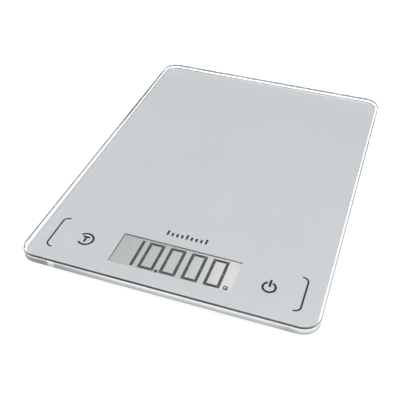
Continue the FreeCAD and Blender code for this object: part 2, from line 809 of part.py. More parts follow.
def coin_cell():
    """The can with its wider side down, and the smaller cap on top."""
    outline = [
        (0, COIN_BOTTOM),
        (COIN_RADIUS - COIN_EDGE, COIN_BOTTOM),
        (COIN_RADIUS, COIN_BOTTOM + COIN_EDGE),
        (COIN_RADIUS, COIN_STEP - COIN_EDGE),
        (COIN_RADIUS - COIN_EDGE, COIN_STEP),
        (COIN_CAP_RADIUS, COIN_STEP),
        (COIN_CAP_RADIUS - COIN_EDGE, COIN_TOP),
        (0, COIN_TOP),
    ]
    return revolved(outline, (0, CELL_Y))


def bent_strip(points, x):
    """A strip of contact metal from (y, z) points along its lower face, centred on x."""
    upper = beside(points, CONTACT_THICKNESS)
    corners = [vector(x - CONTACT_HALF_WIDTH, y, z) for y, z in points + upper[::-1]]
    face = Part.Face(Part.makePolygon(corners + corners[:1]))
    return face.extrude(vector(2 * CONTACT_HALF_WIDTH, 0, 0))


def battery_contact_positive():
    """Stands against the can's front rim, and runs out through the well's wall."""
    tail = CONTACT_TAIL_Y + CONTACT_THICKNESS
    face = CELL_Y - COIN_RADIUS - CONTACT_GAP - CONTACT_THICKNESS
    points = [
        (tail, CONTACT_TAIL_BOTTOM),
        (tail, CONTACT_ARM),
        (face, CONTACT_ARM),
        (face, COIN_BOTTOM + COIN_EDGE),
    ]
    return bent_strip(points, -CONTACT_X)


def battery_contact_negative():
    """Presses on the middle of the cell's smaller cap from above."""
    tail = CONTACT_TAIL_Y + CONTACT_THICKNESS
    points = [
        (tail, CONTACT_TAIL_BOTTOM),
        (tail, CONTACT_ARM),
        (CELL_Y - CONTACT_REACH, CONTACT_ARM),
        (CELL_Y, COIN_TOP + CONTACT_GAP),
    ]
    return bent_strip(points, CONTACT_X)


# Wires


def bend_radius(before, corner, after):
    """The radius of the arc at a corner: as large as its shorter run allows."""
    shorter = min(math.dist(before, corner), math.dist(corner, after))
    first = math.atan2(corner[1] - before[1], corner[0] - before[0])
    second = math.atan2(after[1] - corner[1], after[0] - corner[0])
    turn = abs(math.remainder(second - first, 2 * math.pi))
    return BEND_SHARE * shorter / math.tan(turn / 2), turn


def wire_tube(route, name):
    """A wire along straight runs joined by tangent arcs."""
    points = [vector(x, y, WIRE_Z) for x, y in route]
    edges = []
    start = points[0]
    radii = []
    for i in range(1, len(points) - 1):
        radius, turn = bend_radius(route[i - 1], route[i], route[i + 1])
        radii.append(radius)
        back = (points[i - 1] - points[i]).normalize()
        on = (points[i + 1] - points[i]).normalize()
        tangent = radius * math.tan(turn / 2)
        enters = points[i] + back * tangent
        leaves = points[i] + on * tangent
        inward = (back + on).normalize()
        middle = points[i] + inward * (radius / math.cos(turn / 2) - radius)
        edges.append(Part.LineSegment(start, enters).toShape())
        edges.append(Part.Arc(enters, middle, leaves).toShape())
        start = leaves
    edges.append(Part.LineSegment(start, points[-1]).toShape())
    path = Part.Wire(edges)
    section = Part.Wire([Part.makeCircle(WIRE_RADIUS, points[0], points[1] - points[0])])
    tube = path.makePipeShell([section], True, True)
    expected = math.pi * WIRE_RADIUS**2 * path.Length
    print(name, "length", round(path.Length, 1), "radii", [round(r, 1) for r in radii])
    print(name, "volume over section times length", round(tube.Volume / expected, 4))
    return tube


def load_cell_wires(side, end, name):
    """The three wires of one load cell, from its potting to the block on the board."""
    route = FRONT_WIRE_ROUTE if end < 0 else BACK_WIRE_ROUTE
    route = [(-FOOT_X, end * (FOOT_Y - GAUGE_END))] + route
    tubes = []
    for number in (-1, 0, 1):
        line = beside(route, number * WIRE_PITCH)
        tubes.append(wire_tube([(-side * x, y) for x, y in line], name))
    return Part.makeCompound(tubes)


def battery_leads():
    tubes = []
    for side in (-1, 1):
        line = beside(BATTERY_LEAD_ROUTE, side * CONTACT_X)
        tubes.append(wire_tube(line, "battery_leads"))
    return Part.makeCompound(tubes)


def all_nodes():
    """Every piece by name."""
    nodes = {
        "glass_platform": glass_platform(),
        "back_print": back_print(),
        "mounting_tape": mounting_tape(),
        "base_housing": base_housing(),
        "display_gasket": display_gasket(),
        "lcd_front_glass": lcd_front_glass(),
        "lcd_rear_glass": lcd_rear_glass(),
        "lcd_reflector": lcd_reflector(),
        "display_frame": display_frame(),
        "zebra_strip": zebra_strip(),
        "main_board": main_board(),
        "controller_chip": controller_chip(),
        "quartz_crystal": quartz_crystal(),
        "chip_capacitors": chip_capacitors(),
        "wire_header_left": side_header(-1),
        "wire_header_right": side_header(1),
        "battery_header": battery_header(),
        "board_screws": board_screws(),
        "touch_flex": touch_flex(),
        "touch_contact_block": touch_contact_block(),
        "unit_switch": unit_switch(),
        "unit_button": unit_button(),
        "load_cell_screws": load_cell_screws(),
        "battery_cover": battery_cover(),
        "coin_cell": coin_cell(),
        "battery_contact_positive": battery_contact_positive(),
        "battery_contact_negative": battery_contact_negative(),
        "battery_leads": battery_leads(),
    }
    corner_pieces = {
        "load_cell": load_cell(),
        "load_tongue": load_tongue(),
        "strain_gauge": strain_gauge(),
        "foot": foot(),
        "foot_pad": foot_pad(),
    }
    for name, x, y, turn in cell_places():
        for piece, shape in corner_pieces.items():
            nodes[f"{piece}_{name}"] = placed(shape, x, y, turn)
        nodes[f"load_cell_wires_{name}"] = load_cell_wires(*CORNERS[name], f"load_cell_wires_{name}")
    return nodes


def main():
    os.makedirs("parts", exist_ok=True)
    for name, shape in all_nodes().items():
        shape.exportStep(f"parts/{name}.step")
        print(name, "solids", len(shape.Solids), "valid", shape.isValid(), "volume", round(shape.Volume, 1))


main()
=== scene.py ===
import math

import bmesh
import bpy
from mathutils import Matrix, Vector


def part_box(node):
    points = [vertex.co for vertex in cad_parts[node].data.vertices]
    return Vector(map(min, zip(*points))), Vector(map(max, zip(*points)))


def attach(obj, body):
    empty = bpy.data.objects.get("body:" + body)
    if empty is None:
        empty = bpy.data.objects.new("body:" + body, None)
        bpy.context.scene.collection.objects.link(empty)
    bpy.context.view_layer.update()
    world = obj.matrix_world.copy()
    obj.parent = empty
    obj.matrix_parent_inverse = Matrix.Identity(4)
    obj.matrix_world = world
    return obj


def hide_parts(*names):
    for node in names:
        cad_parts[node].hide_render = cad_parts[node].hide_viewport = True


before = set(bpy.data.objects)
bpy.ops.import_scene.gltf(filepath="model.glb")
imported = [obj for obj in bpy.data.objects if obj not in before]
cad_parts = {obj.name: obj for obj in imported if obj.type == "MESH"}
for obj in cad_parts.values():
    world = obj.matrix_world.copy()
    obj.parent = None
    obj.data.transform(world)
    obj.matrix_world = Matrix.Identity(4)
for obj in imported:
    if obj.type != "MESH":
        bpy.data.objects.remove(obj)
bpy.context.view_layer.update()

# The looks of a flat kitchen scale: a glass platform with a silver print under it, and a display behind
# a window in the print. Lengths are in metres. X is right, Y is back, Z is up, and the origin is under the
# middle of the scale.

MM = 0.001

# Glass platform
GLASS_CORNER = 12 * MM
CORNER_STEPS = 28
GLASS_BONDED = 0.1 * MM  # how far the glass reaches into the print, so that no air lies between them
CHAMFER = 0.8 * MM
CHAMFER_SOFTNESS = 0.1 * MM

# Printed marks, on the upper face of the print
MARK_HALF = 0.02 * MM  # half of a mark's thickness: this much stands proud, and as much is sunk in
LEFT_BRACKET_REACH = 87.35 * MM
RIGHT_BRACKET_REACH = 85.9 * MM
BRACKET_Y = (-122.2 * MM, -93.25 * MM)
BRACKET_RADIUS = 3.8 * MM
BRACKET_STEPS = 14
BRACKET_TAIL = 0.6 * MM
BRACKET_WIDTH = 1.2 * MM
POWER_CENTRE = (63.4 * MM, -108.9 * MM)
POWER_RADIUS = 4.15 * MM
POWER_GAP = 22.0  # degrees either side of the bar
POWER_BAR = (-102.3 * MM, -108.5 * MM)
TARE_CENTRE = (-64.4 * MM, -108.2 * MM)
TARE_RADIUS = 5.25 * MM
TARE_OPENING = (143.0, 223.0)  # degrees between which the ring is open
SYMBOL_WIDTH = 1.55 * MM
LETTER_WIDTH = 1.6 * MM
LETTER_HEAD = (-2.7 * MM, 2.3 * MM)
LETTER_HEAD_UP = 2.0 * MM
LETTER_STEM_X = -0.2 * MM
LETTER_FOOT_DOWN = 2.9 * MM
TICK_START = -14.2 * MM
TICK_PITCH = 3.44 * MM
TICK_COUNT = 9
TICK_BASE = -85.7 * MM
TICK_TALL = 4.7 * MM
TICK_SHORT = 3.2 * MM
TICK_GROUP = 4  # one tick in each group is tall
TICK_WIDTH = 1.5 * MM

# Ground edge: (share of the edge's height, brightness) of its streaks where lit and where under painted
# shade, and (share of the plate's width from the left, how much painted shade darkens the edge there)
EDGE_LIT = (
    (0.12, 0.88),
    (0.2, 0.70),
    (0.27, 0.43),
    (0.38, 0.46),
    (0.46, 0.68),
    (0.57, 0.70),
    (0.64, 0.93),
    (0.84, 0.96),
    (0.9, 0.8),
)
EDGE_SHADED = (
    (0.12, 0.72),
    (0.2, 0.22),
    (0.27, 0.08),
    (0.38, 0.24),
    (0.46, 0.26),
    (0.57, 0.06),
    (0.66, 0.10),
    (0.74, 0.85),
    (0.9, 0.8),
)
EDGE_PAINTED_SHADE = (
    (0.0, 0.0),
    (0.015, 0.0),
    (0.03, 0.9),
    (0.11, 0.9),
    (0.118, 0.0),
    (0.133, 0.0),
    (0.14, 0.7),
    (0.38, 0.1),
    (0.87, 0.1),
    (0.91, 0.5),
    (0.95, 0.0),
)
EDGE_TINT = (0.97, 1.0, 0.995)
EDGE_WANDER = 0.03  # how far the streaks stray up and down, as a share of the edge's height
EDGE_TRANSMISSION = 0.35

# Bevels: the painted shade along the front and the clear tint elsewhere, and the stretches over which one
# turns into the other
BEVEL_PAINTED_SHADE = (0.10, 0.125, 0.12)
BEVEL_LIGHT = (0.86, 0.88, 0.875)
BEVEL_TURN_Y = (-134.5 * MM, -132.0 * MM)
BEVEL_TURN_X = (-88.0 * MM, -91.0 * MM)

# Silver print
PRINT_DARK = (0.742, 0.772, 0.803)
PRINT_LIGHT = (0.771, 0.801, 0.832)
PRINT_ROUGHNESS = (0.14, 0.18)

# Display
LCD_FILM_THICKNESS = 0.17 * MM
LCD_FILM_MARGIN = 0.05 * MM
# The display's painted sheen: its ground lighter towards the right
LCD_PAINTED_SHEEN = (  # by the share of the display's width from the left
    (0.0, (0.56, 0.59, 0.575)),
    (0.6, (0.68, 0.70, 0.685)),
    (1.0, (0.97, 0.97, 0.95)),
)
WINDOW_HALF = (42.0 * MM, 14.0 * MM)
DIGIT_HEIGHT = 24.3 * MM
DIGIT_WIDTH = 11.1 * MM
DIGIT_PITCH = 15.0 * MM
DIGIT_TOP = -95.5 * MM
FIRST_ZERO = -22.3 * MM
ZERO_COUNT = 4
ONE_X = -26.7 * MM
STROKE = 2.1 * MM
SEGMENT_GAP = 0.16 * MM
POINT_PLACE = (-9.2 * MM, -119.1 * MM)
POINT_SIZE = 2.3 * MM
UNIT_PLACE = (37.4 * MM, -117.8 * MM)
UNIT_RADIUS = 1.1 * MM
UNIT_STROKE = 0.9 * MM
UNIT_TAIL = (1.6 * MM, 2.1 * MM)  # how far the tail's upper and lower sides lie below the unit's middle
UNIT_STEPS = 20
RING_GAP = 10.0  # degrees either side of where the unit's ring meets its stem

# All materials
REFRACTIVE_INDEX = 1.5
NOISE_ROUGHNESS = 0.55
NOISE_RANGE = (0.3, 0.7)  # where noise mostly stays

# The mix node's colour sockets, which share their names with its other sockets
MIX_FIRST_COLOUR = 6
MIX_SECOND_COLOUR = 7
MIX_COLOUR_RESULT = 2

# Finishes that differ only in their numbers, by the record's slot: darkest and lightest colour, roughness,
# size of the colour's patches, and size and height of the grain
EVEN_FINISHES = {
    "housing_plastic": ((0.28, 0.29, 0.295), (0.30, 0.31, 0.315), (0.42, 0.58), 30 * MM, 0.35 * MM, 1.6e-5),
    "black_foam": ((0.010, 0.010, 0.011), (0.02, 0.02, 0.02), (0.8, 0.95), 2 * MM, 0.2 * MM, 3e-5),
    "black_plastic": ((0.02, 0.02, 0.021), (0.03, 0.03, 0.031), (0.35, 0.5), 8 * MM, 0.3 * MM, 8e-6),
    "contact_elastomer": ((0.04, 0.035, 0.03), (0.72, 0.56, 0.46), (0.55, 0.7), 0.4 * MM, 0.2 * MM, 1e-5),
    "black_resin": ((0.008, 0.008, 0.008), (0.015, 0.015, 0.016), (0.08, 0.2), 3 * MM, 1.5 * MM, 4e-5),
    "ceramic_chip": ((0.36, 0.27, 0.20), (0.48, 0.38, 0.29), (0.5, 0.65), 1 * MM, 0.15 * MM, 8e-6),
    "white_nylon": ((0.80, 0.78, 0.71), (0.87, 0.85, 0.79), (0.35, 0.48), 5 * MM, 0.3 * MM, 8e-6),
    "button_plastic": ((0.10, 0.104, 0.11), (0.13, 0.134, 0.14), (0.4, 0.52), 4 * MM, 0.3 * MM, 1e-5),
    "wire_insulation": ((0.42, 0.02, 0.018), (0.56, 0.04, 0.03), (0.3, 0.42), 6 * MM, 0.4 * MM, 6e-6),
    "white_potting": ((0.80, 0.80, 0.77), (0.88, 0.88, 0.85), (0.4, 0.55), 2 * MM, 0.6 * MM, 3e-5),
    "foot_plastic": ((0.16, 0.165, 0.17), (0.19, 0.195, 0.20), (0.38, 0.52), 8 * MM, 0.3 * MM, 1e-5),
    "pad_rubber": ((0.05, 0.052, 0.054), (0.075, 0.077, 0.08), (0.7, 0.85), 5 * MM, 0.25 * MM, 2e-5),
}

# Metals, by the record's slot: darkest and lightest colour, roughness, size and height of the grain,
# and how much finer the grain is along each axis
METALS = {
    "reflector_film": ((0.56, 0.58, 0.54), (0.64, 0.66, 0.62), (0.3, 0.45), 0.4 * MM, 2e-6, (1.0, 1.0, 1.0)),
    "nickel": ((0.60, 0.57, 0.52), (0.70, 0.67, 0.62), (0.2, 0.34), 0.4 * MM, 2e-6, (1.0, 8.0, 1.0)),
    "screw_steel": ((0.46, 0.47, 0.48), (0.60, 0.60, 0.60), (0.25, 0.42), 0.2 * MM, 5e-6, (1.0, 1.0, 1.0)),
    "battery_steel": ((0.66, 0.66, 0.66), (0.76, 0.76, 0.75), (0.18, 0.3), 0.4 * MM, 2e-6, (6.0, 1.0, 1.0)),
    "spring_steel": ((0.36, 0.38, 0.41), (0.52, 0.52, 0.52), (0.24, 0.4), 0.4 * MM, 2e-6, (1.0, 12.0, 1.0)),
}
METAL_PATCH = 6 * MM

# Studio
WORLD_LEVELS = (0.8, 2.8)  # all round, and overhead
WORLD_OVERHEAD = (0.80, 0.97)  # how high a direction points where the overhead light begins and is full
FLOOR_HALF = 6.0
FLOOR_DEPTH = 0.01
FLOOR_GLOW = 0.5
SOFTBOX_PLACE = (1.1, -0.5, 1.4)
SOFTBOX_SIZE = 1.2
SOFTBOX_POWER = 3.0
CAMERA_PLACE = (0.11257, -0.39420, 0.32160)
CAMERA_TARGET = (-0.00405, -0.04707, 0.0180)
CAMERA_ROLL = 0.912  # degrees
CAMERA_LENS = 59.74  # millimetres, as the sensor is
CAMERA_SENSOR = 36.0
CAMERA_NEAREST = 0.01


# Mesh helpers


def new_piece(name, mesh_data, material):
    """A piece of the scale that rides on the platform."""
    obj = bpy.data.objects.new(name, mesh_data)
    bpy.context.scene.collection.objects.link(obj)
    obj.data.materials.append(material)
    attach(obj, "platform")
    return obj


def rounded_outline(half_x, half_y, radius, steps):
    """Points round a rectangle with rounded corners, anticlockwise from the front right."""
    centres = ((1, -1, -90.0), (1, 1, 0.0), (-1, 1, 90.0), (-1, -1, 180.0))
    points = []
    for sx, sy, start in centres:
        for i in range(steps + 1):
            angle = math.radians(start + 90.0 * i / steps)
            x = sx * (half_x - radius) + radius * math.cos(angle)
            y = sy * (half_y - radius) + radius * math.sin(angle)
            points.append((x, y))
    return points


def ringed_slab(name, half_x, half_y, radius, profile):
    """A slab whose side follows profile, a list of (inset, z) from the bottom face to the top face.
    The upright part of its side takes the second material, and the rest of the side takes the third."""
    upright = [z for inset, z in profile if inset == 0.0]
    middle = sum(upright) / len(upright)
    wall_half = max(upright) - middle
    bm = bmesh.new()
    rings = []
    for inset, z in profile:
        outline = rounded_outline(half_x - inset, half_y - inset, radius - inset, CORNER_STEPS)
        rings.append([bm.verts.new((x, y, z)) for x, y in outline])
    for low, high in zip(rings, rings[1:]):
        for i in range(len(low)):
            j = (i + 1) % len(low)
            wall = bm.faces.new((low[i], low[j], high[j], high[i]))
            wall.material_index = 1 if abs(wall.calc_center_median().z - middle) < wall_half else 2
    bm.faces.new(reversed(rings[0]))
    bm.faces.new(rings[-1])
    for face in bm.faces:
        face.smooth = True
    data = bpy.data.meshes.new(name)
    bm.to_mesh(data)
    bm.free()
    return data


def plates(name, outlines, bottom, top):
    """Thin upright plates from outlines seen from above, each anticlockwise."""
    bm = bmesh.new()
    for outline in outlines:
        low = [bm.verts.new((x, y, bottom)) for x, y in outline]
        high = [bm.verts.new((x, y, top)) for x, y in outline]
        bm.faces.new(reversed(low))
        bm.faces.new(high)
        for i in range(len(low)):
            j = (i + 1) % len(low)
            bm.faces.new((low[i], low[j], high[j], high[i]))
    data = bpy.data.meshes.new(name)
    bm.to_mesh(data)
    bm.free()
    return data


def ribbon(path, width):
    """The outline of a stroke of one width along path."""
    left = []
    right = []
    for i, (x, y) in enumerate(path):
        before = Vector(path[max(i - 1, 0)])
        after = Vector(path[min(i + 1, len(path) - 1)])
        along = (after - before).normalized()
        side = Vector((-along.y, along.x)) * (width / 2)
        left.append((x + side.x, y + side.y))
        right.append((x - side.x, y - side.y))
    return right + left[::-1]


def arc(centre, radius, start, end, steps=40):
    """Points along an arc, from one angle to another in degrees."""
    points = []
    for i in range(steps + 1):
        angle = math.radians(start + (end - start) * i / steps)
        points.append((centre[0] + radius * math.cos(angle), centre[1] + radius * math.sin(angle)))
    return points


def rectangle(x0, y0, x1, y1):
    return [(x0, y0), (x1, y0), (x1, y1), (x0, y1)]


# Materials


class Finish:
    """A node material that the functions below add to."""

    def __init__(self, name, metallic=0.0, specular=0.5):
        self.material = bpy.data.materials.new(name)
        self.material.use_nodes = True
        self.tree = self.material.node_tree
        self.shader = self.tree.nodes["Principled BSDF"]
        self.shader.inputs["Metallic"].default_value = metallic
        self.shader.inputs["IOR"].default_value = REFRACTIVE_INDEX
        self.shader.inputs["Specular IOR Level"].default_value = specular
        self.coordinates = self.tree.nodes.new("ShaderNodeTexCoord").outputs["Object"]

    def node(self, kind, links=(), **values):
        made = self.tree.nodes.new(kind)
        for key, value in values.items():
            setattr(made, key, value)
        for socket, source in dict(links).items():
            if hasattr(source, "is_output"):
                self.tree.links.new(source, made.inputs[socket])
            else:
                made.inputs[socket].default_value = source
        return made

    def noise(self, size, detail=3.0, stretch=(1.0, 1.0, 1.0)):
        """Noise whose features are about size across, 0 to 1."""
        mapped = self.node("ShaderNodeMapping", {"Vector": self.coordinates, "Scale": stretch})
        links = {
            "Vector": mapped.outputs["Vector"],
            "Scale": 1.0 / size,
            "Detail": detail,
            "Roughness": NOISE_ROUGHNESS,
        }
        return self.node("ShaderNodeTexNoise", links).outputs["Fac"]

    def between(self, factor, low, high):
        """A number from low to high as factor goes through the range that noise mostly stays in."""
        start, end = NOISE_RANGE
        links = {"Value": factor, "From Min": start, "From Max": end, "To Min": low, "To Max": high}
        return self.node("ShaderNodeMapRange", links).outputs["Result"]

    def share(self, source, low, high):
        """How far source has come from low to high, 0 to 1."""
        links = {"Value": source, "From Min": low, "From Max": high}
        return self.node("ShaderNodeMapRange", links).outputs["Result"]

    def clouds(self, factor, dark, light):
        """A colour from dark to light as factor goes through that same range."""
        start, end = NOISE_RANGE
        return self.ramp(factor, (start, dark), (end, light))

    def total(self, first, second):
        """The sum of two numbers."""
        return self.node("ShaderNodeMath", {0: first, 1: second}).outputs[0]

    def axes(self):
        """The place on the object, as separate X, Y and Z."""
        return self.node("ShaderNodeSeparateXYZ", {"Vector": self.coordinates}).outputs

    def ramp(self, factor, *stops):
        """A colour ramp of (position, colour) stops."""
        made = self.node("ShaderNodeValToRGB", {"Fac": factor})
        elements = made.color_ramp.elements
        while len(elements) < len(stops):
            elements.new(0.5)
        for element, (position, colour) in zip(elements, stops):
            element.position = position
            element.color = (*colour, 1.0)
        return made.outputs["Color"]

    def colour(self, source):
        self.tree.links.new(source, self.shader.inputs["Base Color"])

    def roughness(self, source):
        self.tree.links.new(source, self.shader.inputs["Roughness"])

    def bump(self, height, distance):
        made = self.node("ShaderNodeBump", {"Height": height, "Distance": distance, "Strength": 1.0})
        self.tree.links.new(made.outputs["Normal"], self.shader.inputs["Normal"])

    def value(self, socket, number):
        self.shader.inputs[socket].default_value = number


def varied(name, dark, light, rough, patch, grain, height, stretch=(1.0, 1.0, 1.0), **shader):
    """Colour drifting between two shades over patches, with a fine grain in its roughness and its bump."""
    made = Finish(name, **shader)
    made.colour(made.clouds(made.noise(patch, 4.0), dark, light))
    fine = made.noise(grain, 4.0, stretch)
    made.roughness(made.between(fine, *rough))
    made.bump(fine, height)
    return made.material


def clear_glass():
    """The platform's faces: clear, with a trace of green and a faint waviness."""
    made = Finish("clear_glass")
    made.value("Transmission Weight", 1.0)
    haze = made.noise(35 * MM, 3.0)
    made.colour(made.clouds(haze, (0.985, 0.993, 0.99), (0.992, 0.997, 0.995)))
    made.roughness(made.between(haze, 0.0, 0.012))
    made.bump(made.noise(60 * MM, 1.0), 2e-6)
    return made.material


def greys(levels, tint):
    """Ramp stops from (position, level) pairs, every level in one tint."""
    return [(position, tuple(level * part for part in tint)) for position, level in levels]


def ground_edge():
    """The plate's upright side, ground and lightly polished: long streaks that follow the edge, darkened by
    painted shade in stretches across the plate's width.
    """
    made = Finish("ground_edge")
    made.value("Transmission Weight", EDGE_TRANSMISSION)
    low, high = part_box("glass_platform")
    place = made.axes()
    streak = made.noise(30 * MM, 3.0, (1.0, 1.0, 60.0))
    upward = made.share(place["Z"], low.z, high.z)
    strayed = made.total(upward, made.between(streak, -EDGE_WANDER, EDGE_WANDER))
    lit_streaks = made.ramp(strayed, *greys(EDGE_LIT, EDGE_TINT))
    shaded_streaks = made.ramp(strayed, *greys(EDGE_SHADED, EDGE_TINT))
    # Painted shade: across the plate's width the edge turns in stretches to the darker copy of its streaks,
    # most near the left.
    painted_shade = made.ramp(made.share(place["X"], low.x, high.x), *greys(EDGE_PAINTED_SHADE, (1.0, 1.0, 1.0)))
    links = {"Factor": painted_shade, MIX_FIRST_COLOUR: lit_streaks, MIX_SECOND_COLOUR: shaded_streaks}
    mixed = made.node("ShaderNodeMix", links, data_type="RGBA")
    made.colour(mixed.outputs[MIX_COLOUR_RESULT])
    made.roughness(made.between(streak, 0.45, 0.6))
    made.bump(streak, 4e-6)
    return made.material


def polished_bevel():
    """The plate's bevels: clear, with painted shade along the front for the darkness they show where they
    look down the glass's whole length.
    """
    made = Finish("polished_bevel")
    made.value("Transmission Weight", 1.0)
    haze = made.noise(20 * MM, 3.0)
    place = made.axes()
    # Painted shade: dark along the front, clear further back and at the left corner.
    turns = {0: made.share(place["Y"], *BEVEL_TURN_Y), 1: made.share(place["X"], *BEVEL_TURN_X)}
    turned = made.node("ShaderNodeMath", turns, operation="MAXIMUM").outputs[0]
    mixed = made.total(turned, made.between(haze, -0.03, 0.03))
    made.colour(made.ramp(mixed, (0.0, BEVEL_PAINTED_SHADE), (1.0, BEVEL_LIGHT)))
    made.roughness(made.between(haze, 0.02, 0.06))
    made.bump(haze, 2e-6)
    return made.material


def silver_print():
    """Satin silver ink: a metallic flake under the glass, almost even."""
    made = Finish("silver_print", metallic=1.0)
    flake = made.noise(0.25 * MM, 2.0)
    cloud = made.noise(70 * MM, 2.0)
    mixed = made.total(made.between(flake, 0.4, 0.6), made.between(cloud, -0.1, 0.1))
    made.colour(made.clouds(mixed, PRINT_DARK, PRINT_LIGHT))
    made.roughness(made.between(flake, *PRINT_ROUGHNESS))
    made.bump(flake, 2e-6)
    return made.material


def black_ink():
    """The ink of the printed marks. It lies against the glass, so it has no gloss of its own."""
    dark = (0.008, 0.009, 0.010)
    light = (0.016, 0.017, 0.018)
    return varied("black_ink", dark, light, (0.4, 0.55), 3 * MM, 0.1 * MM, 1e-6, specular=0.0)


def lcd_film():
    """The display's ground: greenish grey, with a painted sheen that makes it lighter towards the right, and
    a fine rubbed grain.
    """
    made = Finish("lcd_film", specular=0.3)
    low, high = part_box("lcd_front_glass")
    # Painted sheen: the display's ground grows lighter from left to right.
    across = made.share(made.axes()["X"], low.x, high.x)
    grain = made.noise(0.15 * MM, 2.0)
    mixed = made.total(across, made.between(grain, -0.02, 0.02))
    made.colour(made.ramp(mixed, *LCD_PAINTED_SHEEN))
    made.roughness(made.between(grain, 0.45, 0.6))
    made.bump(grain, 2e-6)
    return made.material


def segment_ink():
    """The display's dark segments."""
    dark = (0.016, 0.019, 0.019)
    light = (0.024, 0.027, 0.027)
    return varied("lcd_segment", dark, light, (0.4, 0.5), 2 * MM, 0.1 * MM, 1e-6, specular=0.1)


def display_glass():
    """The display's two thin plates, slightly frosted."""
    made = Finish("display_glass")
    made.value("Transmission Weight", 1.0)
    haze = made.noise(8 * MM, 2.0)
    made.colour(made.clouds(haze, (0.95, 0.965, 0.955), (0.965, 0.98, 0.97)))
    made.roughness(made.between(haze, 0.06, 0.1))
    made.bump(made.noise(0.3 * MM, 1.0), 5e-7)
    return made.material


def foam():
    """Closed-cell foam: shallow cells."""
    made = Finish("foam_tape", specular=0.3)
    cells = made.node("ShaderNodeTexVoronoi", {"Vector": made.coordinates, "Scale": 1.0 / (0.25 * MM)})
    cell = cells.outputs["Distance"]
    made.colour(made.ramp(cell, (0.1, (0.66, 0.66, 0.64)), (0.7, (0.86, 0.86, 0.84))))
    made.roughness(made.between(cell, 0.8, 0.95))
    made.bump(cell, 6e-5)
    return made.material


def circuit_board():
    """Green solder mask with tracks showing through it."""
    made = Finish("circuit_board")
    links = {
        "Vector": made.coordinates,
        "Scale": 1.0 / (4 * MM),
        "Mortar Size": 0.05,
        "Brick Width": 1.6,
        "Row Height": 0.4,
    }
    tracks = made.node("ShaderNodeTexBrick", links).outputs["Fac"]
    made.colour(made.ramp(tracks, (0.0, (0.012, 0.10, 0.045)), (1.0, (0.03, 0.19, 0.08))))
    fine = made.noise(0.2 * MM, 3.0)
    made.roughness(made.between(fine, 0.25, 0.38))
    made.bump(tracks, 3e-5)
    return made.material


def touch_film():
    """Amber film over copper, with a fine weave of the electrode."""
    made = Finish("amber_film")
    links = {"Vector": made.coordinates, "Scale": 1.0 / (1.2 * MM), "Distortion": 0.0}
    mesh_lines = made.node("ShaderNodeTexWave", links).outputs["Fac"]
    made.colour(made.ramp(mesh_lines, (0.2, (0.42, 0.19, 0.045)), (0.8, (0.62, 0.35, 0.10))))
    fine = made.noise(0.3 * MM)
    made.roughness(made.between(fine, 0.2, 0.3))
    made.bump(mesh_lines, 1e-5)
    return made.material


def make_finishes():
    """Every material by the record's slot, apart from the inks and the display film."""
    finishes = {
        "clear_glass": clear_glass(),
        "silver_print": silver_print(),
        "foam_tape": foam(),
        "display_glass": display_glass(),
        "circuit_board": circuit_board(),
        "amber_film": touch_film(),
    }
    for slot, numbers in EVEN_FINISHES.items():
        finishes[slot] = varied(slot, *numbers)
    for slot, (dark, light, rough, grain, height, stretch) in METALS.items():
        finishes[slot] = varied(slot, dark, light, rough, METAL_PATCH, grain, height, stretch, metallic=1.0)
    return finishes


# Pieces


def glass_plate(face_material, edge_material, bevel_material):
    """The platform: flat faces, a flat edge, and narrow polished chamfers with softened corners."""
    low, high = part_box("glass_platform")
    bottom = low.z - GLASS_BONDED
    soft = CHAMFER_SOFTNESS
    half = soft / 2
    profile = [
        (CHAMFER + soft, bottom),
        (CHAMFER + half / 2, bottom + half / 4),
        (CHAMFER - half, low.z + half),
        (half, low.z + CHAMFER - half),
        (half / 4, low.z + CHAMFER + half / 2),
        (0.0, low.z + CHAMFER + soft),
        (0.0, high.z - CHAMFER - soft),
        (half / 4, high.z - CHAMFER - half / 2),
        (half, high.z - CHAMFER + half),
        (CHAMFER - half, high.z - half),
        (CHAMFER + half / 2, high.z - half / 4),
        (CHAMFER + soft, high.z),
    ]
    data = ringed_slab("glass_plate", high.x, high.y, GLASS_CORNER, profile)
    piece = new_piece("glass_plate", data, face_material)
    piece.data.materials.append(edge_material)
    piece.data.materials.append(bevel_material)
    piece.modifiers.new("normals", "WEIGHTED_NORMAL")
    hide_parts("glass_platform")


def bracket(side, reach):
    """A thin line with ends turned inward, beside a touch key. reach is how far out it lies."""
    bottom, top = BRACKET_Y
    x = reach - BRACKET_RADIUS
    path = [(x - BRACKET_TAIL, bottom)]
    path += arc((x, bottom + BRACKET_RADIUS), BRACKET_RADIUS, -90.0, 0.0, BRACKET_STEPS)
    path += arc((x, top - BRACKET_RADIUS), BRACKET_RADIUS, 0.0, 90.0, BRACKET_STEPS)
    path.append((x - BRACKET_TAIL, top))
    outline = ribbon([(side * px, py) for px, py in path], BRACKET_WIDTH)
    return outline if side > 0 else outline[::-1]


def power_symbol():
    """A ring open at the top, with a bar in the opening."""
    ring = arc(POWER_CENTRE, POWER_RADIUS, 90.0 + POWER_GAP, 450.0 - POWER_GAP)
    half = SYMBOL_WIDTH / 2
    top, bottom = POWER_BAR
    bar = rectangle(POWER_CENTRE[0] - half, bottom, POWER_CENTRE[0] + half, top)
    return [ribbon(ring, SYMBOL_WIDTH), bar]


def tare_symbol():
    """An open ring round a T."""
    x, y = TARE_CENTRE
    start, end = TARE_OPENING
    ring = arc(TARE_CENTRE, TARE_RADIUS, end, start + 360.0)
    half = LETTER_WIDTH / 2
    left, right = LETTER_HEAD
    stem_x = x + LETTER_STEM_X
    head_y = y + LETTER_HEAD_UP
    head = rectangle(x + left, head_y - half, x + right, head_y + half)
    stem = rectangle(stem_x - half, y - LETTER_FOOT_DOWN, stem_x + half, head_y - half)
    return [ribbon(ring, SYMBOL_WIDTH), head, stem]


